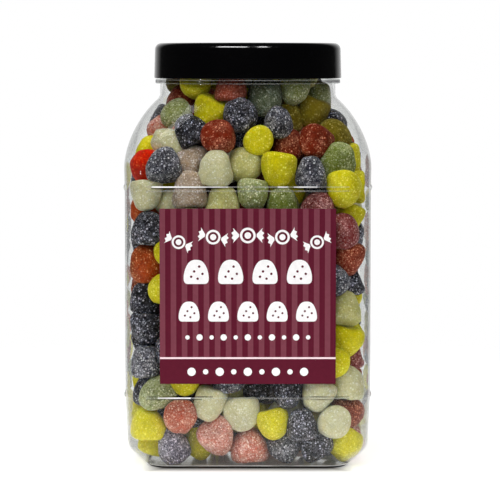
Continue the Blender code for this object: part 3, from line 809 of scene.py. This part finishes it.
def add_label():
    """The printed sheet: light and dark stripes, a pale line, and a plain band under it."""
    low, high = LABEL_LOW, LABEL_HIGH
    columns = np.linspace(low.x, high.x, STRIPES + 1)
    line_z = low.z + LINE_SHARE * (high.z - low.z)
    rows = [low.z, line_z - LINE_HEIGHT / 2, line_z + LINE_HEIGHT / 2, high.z]
    points = [(x, y, z) for y in (low.y, high.y) for z in rows for x in columns]
    sheet = np.arange(len(points) // 2).reshape(len(rows), -1)
    back = sheet.size
    faces, prints = [], []
    for row, column in product(range(len(rows) - 1), range(STRIPES)):
        (a, b), (d, c) = sheet[row:row + 2, column:column + 2].tolist()
        faces += [(a, b, c, d), (d + back, c + back, b + back, a + back)]
        prints += [(0, 2, 1 - column % 2)[row], 3]
    rim = [*sheet[0], *sheet[1:, -1], *sheet[-1, -2::-1], *sheet[-2:0:-1, 0]]
    faces += [(start, start + back, end + back, end) for start, end in zip(rim, rim[1:] + rim[:1])]
    prints += [3] * len(rim)
    papers = map(paper_material, ("label_maroon", "label_stripe", "label_line", "label_edge"))
    label = mesh_object("label_print", points, faces, *papers, smooth=False)
    label.data.polygons.foreach_set("material_index", prints)
    motifs = add_motifs()
    for piece in (label, motifs):
        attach(piece, "root")
        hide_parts("label")


class Print:
    """Flat shapes on the label, in millimetres from its middle, as thin bodies in layers of ink."""

    def __init__(self):
        self.points = []
        self.faces = []
        self.inks = []  # of each face: 0 white, 1 the paper's red

    def shape(self, outline, layer=0):
        middle_z = (LABEL_LOW.z + LABEL_HIGH.z) / 2
        start = len(self.points)
        count = len(outline)
        for depth in (LABEL_LOW.y - (layer + 1) * INK_RELIEF, LABEL_LOW.y - 0.2 * INK_RELIEF):
            self.points += [(x * MM, depth, middle_z + y * MM) for x, y in outline]
        front = tuple(range(start, start + count))
        self.faces += [front, tuple(index + count for index in reversed(front))]
        self.faces += [(i + count, j + count, j, i) for i, j in zip(front, front[1:] + front[:1])]
        self.inks += [layer % 2] * (count + 2)

    def disc(self, x, y, radius, layer=0, steps=28):
        turns = [2 * math.pi * step / steps for step in range(steps)]
        self.shape([(x + radius * math.cos(turn), y + radius * math.sin(turn)) for turn in turns], layer)

    def gumdrop(self, x, y, width, height):
        """Side view of a gum, a flat foot under a dome, with a few grains of sugar."""
        right = [(share * width / 2, rise * height) for share, rise in GUM_OUTLINE[2:]]
        left = [(-across, rise) for across, rise in reversed(right[:-1])]
        self.shape([(x + across, y + rise) for across, rise in right + left])
        for across, rise in SUGAR_DOTS:
            self.disc(x + across * width, y + rise * height, SUGAR_DOT * width, 1, 12)

    def wrapped(self, x, y, radius, turn):
        """A round sweet in a twisted wrapper: rings between two pleated fans."""
        for layer, share in enumerate(WRAPPED_RINGS):
            self.disc(x, y, share * radius, layer)
        cosine, sine = math.cos(turn), math.sin(turn)
        root, half = FAN_ROOT
        fan = [(root, half)]
        for pleat in range(PLEATS + 1):
            angle = FAN_TURN * (1 - 2 * pleat / PLEATS)
            fan.append((FAN_REACH[pleat % 2] * math.cos(angle), FAN_REACH[pleat % 2] * math.sin(angle)))
        fan.append((root, -half))
        for size in (-radius, radius):
            turned = [(size * a, size * b) for a, b in reversed(fan)]
            self.shape([(x + a * cosine - b * sine, y + a * sine + b * cosine) for a, b in turned])


def add_motifs():
    """A generic pattern of sweets: wrapped ones over two rows of gums, and rows of dots."""
    sheet = Print()
    for draw, motifs in ((sheet.wrapped, WRAPPED), (sheet.gumdrop, GUMDROPS), (sheet.disc, DOTS)):
        for motif in motifs:
            draw(*motif)
    papers = map(paper_material, ("label_white", "label_red_ink"))
    piece = mesh_object("label_motifs", sheet.points, sheet.faces, *papers, smooth=False)
    piece.data.polygons.foreach_set("material_index", sheet.inks)
    return piece


# ---- materials

def srgb(red, green, blue):
    """Linear colour from the 0 to 255 values of a picture."""
    shares = [value / 255 for value in (red, green, blue)]
    return tuple(s / 12.92 if s <= 0.04045 else ((s + 0.055) / 1.055) ** 2.4 for s in shares)


PAPERS = {
    "label_maroon": (92, 26, 44), "label_stripe": (120, 61, 74), "label_line": (248, 222, 228),
    "label_edge": (180, 170, 172), "label_white": (250, 248, 248), "label_red_ink": (92, 26, 44),
}
CLEAR_FACE = (0.985, 0.988, 0.985)
CLEAR_EDGE = (0.93, 0.935, 0.93)
FACE_GLOSS = 0.006
FOOT_GLOSS = 0.018  # near the floor, which the wall reflects
GLOSS_HEIGHTS = (20.0 * MM, 75.0 * MM)
FROST = 0.48  # most of the haze of fine sugar between the grains

# Kind of gum: its colour, the colour of its sugar, how thick the coat is, and its pale edge
GUM_KINDS = {
    "black": ((8, 8, 14), (226, 226, 242), 0.4, 0.02),
    "grey_black": ((38, 38, 48), (226, 226, 234), 0.64, 0.03),
    "plum_black": ((36, 28, 50), (232, 226, 238), 0.62, 0.03),
    "yellow": ((198, 188, 2), (248, 242, 112), 0.46, 0.6),
    # painted shade: a darker copy of yellow, for the gums in the lid's shadow
    "olive": ((112, 98, 14), (180, 168, 92), 0.42, 0.08),
    "cream": ((192, 188, 146), (230, 230, 214), 0.55, 0.8),
    "lime": ((178, 174, 108), (226, 226, 190), 0.6, 0.5),
    "pink": ((176, 88, 68), (248, 226, 214), 0.95, 0.12),
    "coral": ((164, 68, 40), (238, 204, 182), 0.9, 0.1),
    "red": ((108, 24, 2), (230, 158, 124), 0.54, 0.04),
    "dull_red": ((134, 58, 38), (198, 136, 120), 0.55, 0.04),
    "scarlet": ((186, 22, 0), (240, 112, 48), 0.3, 0.03),
    "orange": ((164, 60, 8), (238, 170, 112), 0.5, 0.04),
    "green": ((94, 106, 32), (216, 220, 178), 0.68, 0.06),
    "pale_green": ((132, 140, 76), (228, 230, 198), 0.8, 0.1),
    # a grey-green gum, made darker for the one in the lid's shadow: partly painted shade
    "grey_green": ((68, 76, 54), (190, 196, 176), 0.56, 0.06),
    "plum": ((108, 34, 34), (228, 182, 178), 0.64, 0.04),
    "mauve": ((144, 124, 102), (230, 222, 216), 0.8, 0.2),
}


class Nodes:
    """Short names for building the nodes of one material or world."""

    def __init__(self, owner):
        owner.use_nodes = True
        self.owner = owner
        self.tree = owner.node_tree
        self.shader = self.tree.nodes.get("Principled BSDF")

    def put(self, value, socket):
        """Links an output to the socket, or sets a number or colour on the socket itself."""
        if isinstance(value, bpy.types.NodeSocket):
            self.tree.links.new(value, socket)
        else:
            socket.default_value = (*value, 1.0) if socket.type == "RGBA" else value

    def add(self, kind, **settings):
        node = self.tree.nodes.new("ShaderNode" + kind)
        for key, value in settings.items():
            if key in node.inputs:
                self.put(value, node.inputs[key])
            else:
                setattr(node, key, value)
        return node

    def look(self, looks):
        """The material, once its usual shader has the values."""
        for name, value in looks.items():
            self.put(value, self.shader.inputs[name])
        return self.owner

    def fed(self, node, *values):
        """The node's output, once its first inputs have the values."""
        for value, socket in zip(values, node.inputs):
            self.put(value, socket)
        return node.outputs[0]

    def place(self):
        return self.add("TexCoord").outputs["Object"]

    def noise(self, scale, detail=3.0, roughness=0.55):
        node = self.add("TexNoise", Scale=scale, Detail=detail, Roughness=roughness, Vector=self.place())
        return node.outputs["Fac"]

    def span(self, value, low, high, to_low=0.0, to_high=1.0):
        return self.fed(self.add("MapRange", clamp=True), value, low, high, to_low, to_high)

    def worked_out(self, operation, first, second):
        return self.fed(self.add("Math", operation=operation), first, second)

    plus = partialmethod(worked_out, "ADD")
    minus = partialmethod(worked_out, "SUBTRACT")
    times = partialmethod(worked_out, "MULTIPLY")
    power = partialmethod(worked_out, "POWER")
    most = partialmethod(worked_out, "MAXIMUM")

    def mix(self, share, first, second):
        node = self.add("Mix", data_type="RGBA")
        for index, value in ((0, share), (6, first), (7, second)):
            self.put(value, node.inputs[index])
        return node.outputs[2]

    def bump(self, height, strength, distance):
        return self.add("Bump", Strength=strength, Distance=distance, Height=height).outputs["Normal"]

    def grains(self, scale, amount):
        """Round grains in some of the cells of a scatter, each of its own brightness.

        Returns the grains, the distance in each cell and a number of each cell's own.
        """
        cells = self.add("TexVoronoi", Scale=scale, Vector=self.place()).outputs
        chance = self.add("SeparateColor", Color=cells["Color"]).outputs
        picked = self.span(self.minus(amount, chance["Red"]), 0.0, 0.06)
        ragged = self.plus(cells["Distance"], self.times(self.noise(2 * scale), 0.3))
        bright = self.span(chance["Green"], 0.0, 1.0, 0.25, 1.0)
        grain = self.times(self.times(picked, self.span(ragged, 0.68, 0.42)), bright)
        return grain, cells["Distance"], chance["Blue"]

    def blend(self, share, first, second):
        """The material, with two shaders in one in place of its usual one."""
        mixed = self.fed(self.add("MixShader"), share, first.outputs[0], second.outputs[0])
        self.put(mixed, self.tree.nodes["Material Output"].inputs["Surface"])
        self.tree.nodes.remove(self.shader)
        return self.owner


def material(name):
    return Nodes(bpy.data.materials.new(name))


def scaled(colour, factor):
    return tuple(min(channel * factor, 1.0) for channel in colour)


def gum_material(kind):
    """Coloured gum under grains of sugar, which lie thicker in patches and on some gums."""
    colour, sugar_colour, coat, edge = GUM_KINDS[kind]
    colour, sugar_colour = srgb(*colour), srgb(*sugar_colour)
    nodes = material("gum_" + kind)
    shade = nodes.add("Attribute", attribute_name="shade").outputs["Fac"]
    sugar = nodes.add("Attribute", attribute_name="sugar").outputs["Fac"]
    patches = nodes.plus(nodes.span(nodes.noise(110), 0.44, 0.66), nodes.times(sugar, 0.5))
    amount = nodes.times(nodes.plus(patches, 0.3), coat)
    coarse, relief, crystal = nodes.grains(760, nodes.times(amount, 1.05))
    fine, _, fine_crystal = nodes.grains(1300, amount)
    broad = nodes.plus(nodes.noise(75), nodes.times(shade, 0.12))
    grit = nodes.plus(nodes.times(crystal, 0.16), nodes.times(fine_crystal, 0.26))
    depth = nodes.span(nodes.plus(broad, grit), 0.42, 1.0)
    gum = nodes.mix(depth, scaled(colour, 0.5 + 0.35 * edge), scaled(colour, 1.4 - 0.25 * edge))
    frost = nodes.times(amount, nodes.span(nodes.noise(620, 4.0, 0.7), 0.42, 0.72))
    cover = nodes.most(nodes.most(coarse, nodes.times(fine, 0.6)), nodes.times(frost, FROST))
    return nodes.look({
        "Base Color": nodes.mix(cover, gum, sugar_colour),
        "Roughness": nodes.span(coarse, 0.0, 1.0, 0.66, 0.36),
        "Specular IOR Level": 0.22,
        "Subsurface Weight": 0.7,
        "Subsurface Radius": (1.0, 0.7, 0.4),
        "Subsurface Scale": 3.5 * MM,
        "Sheen Weight": edge,
        "Sheen Roughness": 0.2,
        "Sheen Tint": sugar_colour,
        "Normal": nodes.bump(nodes.plus(relief, nodes.times(coarse, 0.7)), 0.7, 0.25 * MM),
    })


def core_material():
    nodes = material("heap_shadow")
    # painted shade: the dark brown of the heap's unlit inside
    return nodes.look({
        "Base Color": nodes.mix(nodes.noise(60), srgb(40, 28, 12), srgb(88, 62, 24)),
        "Roughness": 0.8,
        "Normal": nodes.bump(nodes.noise(300), 0.4, 1.0 * MM),
    })


def clear_material():
    """Clear plastic: looked through face on, and reflecting and greyer at a slant."""
    nodes = material("clear_wall")
    facing = nodes.add("LayerWeight", Blend=0.5).outputs["Facing"]
    colour = nodes.mix(nodes.power(facing, 3.0), CLEAR_FACE, CLEAR_EDGE)
    through = nodes.add("BsdfTransparent", Color=colour)
    gloss = nodes.add("BsdfGlossy", Roughness=0.03, Normal=nodes.bump(nodes.noise(38, 2.0), 0.1, 0.5 * MM))
    height = nodes.add("SeparateXYZ", Vector=nodes.place()).outputs["Z"]
    face_gloss = nodes.span(height, *GLOSS_HEIGHTS, FOOT_GLOSS, FACE_GLOSS)
    return nodes.blend(nodes.plus(nodes.times(nodes.power(facing, 5.0), 0.8), face_gloss), through, gloss)


def painted_highlight_material(name, most):
    """Painted highlights where the edges of the moulding gather light: white lines in the clear wall,
    uneven in strength.
    """
    nodes = material(name)
    through = nodes.add("BsdfTransparent", Color=(0.8, 0.82, 0.81))
    glow = nodes.add("BsdfDiffuse", Color=(1.0, 1.0, 1.0))
    return nodes.blend(nodes.span(nodes.noise(60, 1.0), 0.35, 0.6, 0.5 * most, most), through, glow)


def painted_dark_line_material(name, light, dark):
    """Painted dark lines where the edges turn the view aside: a dim line beside each bright one, and the
    painted contact shadow at the foot.
    """
    nodes = material(name)
    dim = nodes.span(nodes.noise(60, 1.0), 0.35, 0.6)
    through = nodes.add("BsdfTransparent", Color=nodes.mix(dim, (light,) * 3, (dark,) * 3))
    return nodes.blend(0.03, through, nodes.add("BsdfGlossy", Roughness=0.1))


def lid_material():
    nodes = material("lid_black")
    return nodes.look({
        "Base Color": nodes.mix(nodes.noise(25), srgb(1, 1, 2), srgb(4, 4, 5)),
        "Roughness": nodes.span(nodes.noise(400), 0.3, 0.7, 0.1, 0.17),
        "Normal": nodes.bump(nodes.noise(55, 2.0), 0.05, 0.5 * MM),
    })


def paper_material(name):
    """Printed paper: nearly even ink with a faint fibre."""
    nodes = material(name)
    colour = srgb(*PAPERS[name])
    fibre = nodes.span(nodes.noise(500), 0.3, 0.7)
    return nodes.look({
        "Base Color": nodes.mix(fibre, scaled(colour, 0.95), scaled(colour, 1.05)),
        "Roughness": nodes.span(nodes.noise(900), 0.3, 0.7, 0.5, 0.62),
        "Specular IOR Level": 0.05,
        "Normal": nodes.bump(nodes.noise(1800, 2.0), 0.08, 0.1 * MM),
    })


# ---- stage and light

FLOOR_RADIUS = 0.9
FLOOR_SIDES = 96
FLOOR_Z_DROP = 0.1 * MM
FLOOR_FADE = (0.14, 0.55)  # the floor ends between these distances from the jar's axis
FLOOR_COLOUR = (0.86, 0.86, 0.85)
SHADE_UNDER_JAR = (0.8, 0.66, 0.52)  # painted shade on the floor under the clear base, tinted like the gums
CONTACT = (0.1, 0.08, 0.06)  # painted contact shadow at the foot
CONTACT_REACH = (0.0555, 0.0605)
SHADE_REACH = (0.0605, 0.074)
SHADE_SIDE = 0.009  # less of the shade at the sides than at the front
# glow of the floor, lowered near the jar for the painted shade
FLOOR_GLOW = (0.09, 0.54)

ROOM_TURN = (-0.2, 0.75)  # towards the back, between these the room goes from dim to light
GLOSS_TURN = (0.72, 1.0)
ROOM = (  # kind of ray, turn, strength at the front and at the back
    (None, ROOM_TURN, 0.12, 0.62),
    ("Is Glossy Ray", GLOSS_TURN, 0.02, 0.95),
    ("Is Camera Ray", ROOM_TURN, 1.0, 1.0),
)
LIGHT_TARGET = Vector((0, 0, 0.13))

# Azimuth and elevation in degrees, distance, width, height and power
SOFTBOXES = {
    "softbox_left": (-28, 38, 1.5, 0.95, 0.8, 10.4),
    "softbox_front": (4, 6, 1.6, 0.9, 0.5, 2.6),
    "softbox_right": (24, 34, 1.5, 0.7, 0.7, 5.0),
    "softbox_top": (0, 86, 1.3, 1.1, 1.1, 8.0),
}
GLINTS = {
    "glint_shoulder": ("jar_wall", -126, 58, 1.5, 0.28, 0.22, 0.7),
    "glint_neck": ("jar_wall", -61, 2.9, 1.5, 0.1, 0.06, 1.8),
    "glint_lid_left": ("lid_cap", -22, 44, 1.5, 0.8, 0.3, 20.8),
    "glint_lid_right": ("lid_cap", 21, 44, 1.5, 0.25, 0.3, 6.5),
}


def add_stage():
    """A pale floor with painted shade where the jar stands, that fades into the white round it."""
    nodes = material("pale_floor")
    across = nodes.add("VectorMath", operation="ABSOLUTE", Vector=nodes.place()).outputs["Vector"]
    sides = nodes.add("SeparateXYZ", Vector=across).outputs
    reach = nodes.most(nodes.plus(sides["X"], SHADE_SIDE), sides["Y"])
    clear_of_jar = nodes.span(reach, *SHADE_REACH)
    shade = nodes.mix(nodes.span(reach, *CONTACT_REACH), SHADE_UNDER_JAR, CONTACT)
    distance = nodes.add("VectorMath", operation="LENGTH", Vector=nodes.place()).outputs["Value"]
    nodes.look({
        "Base Color": nodes.mix(clear_of_jar, shade, FLOOR_COLOUR),
        "Roughness": 0.7,
        "Specular IOR Level": 0.1,
        "Emission Color": (1.0, 1.0, 1.0),
        "Emission Strength": nodes.span(clear_of_jar, 0.0, 1.0, *FLOOR_GLOW),
        "Alpha": nodes.span(distance, *FLOOR_FADE, 1.0, 0.0),
    })
    points = circle(FLOOR_RADIUS, -FLOOR_Z_DROP, FLOOR_SIDES).tolist()
    floor = mesh_object("floor", points, [tuple(range(FLOOR_SIDES))], nodes.owner, smooth=False)


def add_world():
    """White to the eye; as light, a pale room that is dimmer on the viewer's side."""
    nodes = Nodes(bpy.data.worlds.new("studio"))
    bpy.context.scene.world = nodes.owner
    nodes.tree.nodes.clear()
    way = nodes.add("SeparateXYZ", Vector=nodes.add("TexCoord").outputs["Generated"]).outputs["Y"]
    path = nodes.add("LightPath").outputs
    for ray, turn, front, back in ROOM:
        strength = nodes.span(way, *turn, front, back)
        light = nodes.add("Background", Color=(1.0, 1.0, 1.0), Strength=strength).outputs[0]
        shown = nodes.fed(nodes.add("MixShader"), path[ray], shown, light) if ray else light
    nodes.put(shown, nodes.add("OutputWorld").inputs["Surface"])


def add_light(name, azimuth, elevation, distance, width, height, power):
    """A softbox aimed at the middle of the jar, its direction measured from the viewer's side."""
    turn = math.radians(azimuth)
    rise = math.radians(elevation)
    data = bpy.data.lights.new(name, "AREA")
    data.shape = "RECTANGLE"
    data.size, data.size_y, data.energy = width, height, power
    light = bpy.data.objects.new(name, data)
    way = Vector((math.sin(turn) * math.cos(rise), -math.cos(turn) * math.cos(rise), math.sin(rise)))
    light.location = LIGHT_TARGET + way * distance
    light.rotation_euler = way.to_track_quat("Z", "Y").to_euler()
    bpy.context.scene.collection.objects.link(light)
    return light


def add_lights():
    """Soft light that leaves no image of itself, and small lights for the glints."""
    for name, numbers in SOFTBOXES.items():
        add_light(name, *numbers).visible_glossy = False
    for name, (piece, *numbers) in GLINTS.items():
        light = add_light(name, *numbers)
        receivers = bpy.data.collections.new(name)
        receivers.objects.link(bpy.data.objects[piece])
        light.light_linking.receiver_collection = receivers
        light.visible_diffuse = False


add_camera()
add_stage()
add_world()
add_jar()
add_lid()
add_label()
add_gums()
add_lights()
bpy.context.scene.view_settings.view_transform = "Standard"
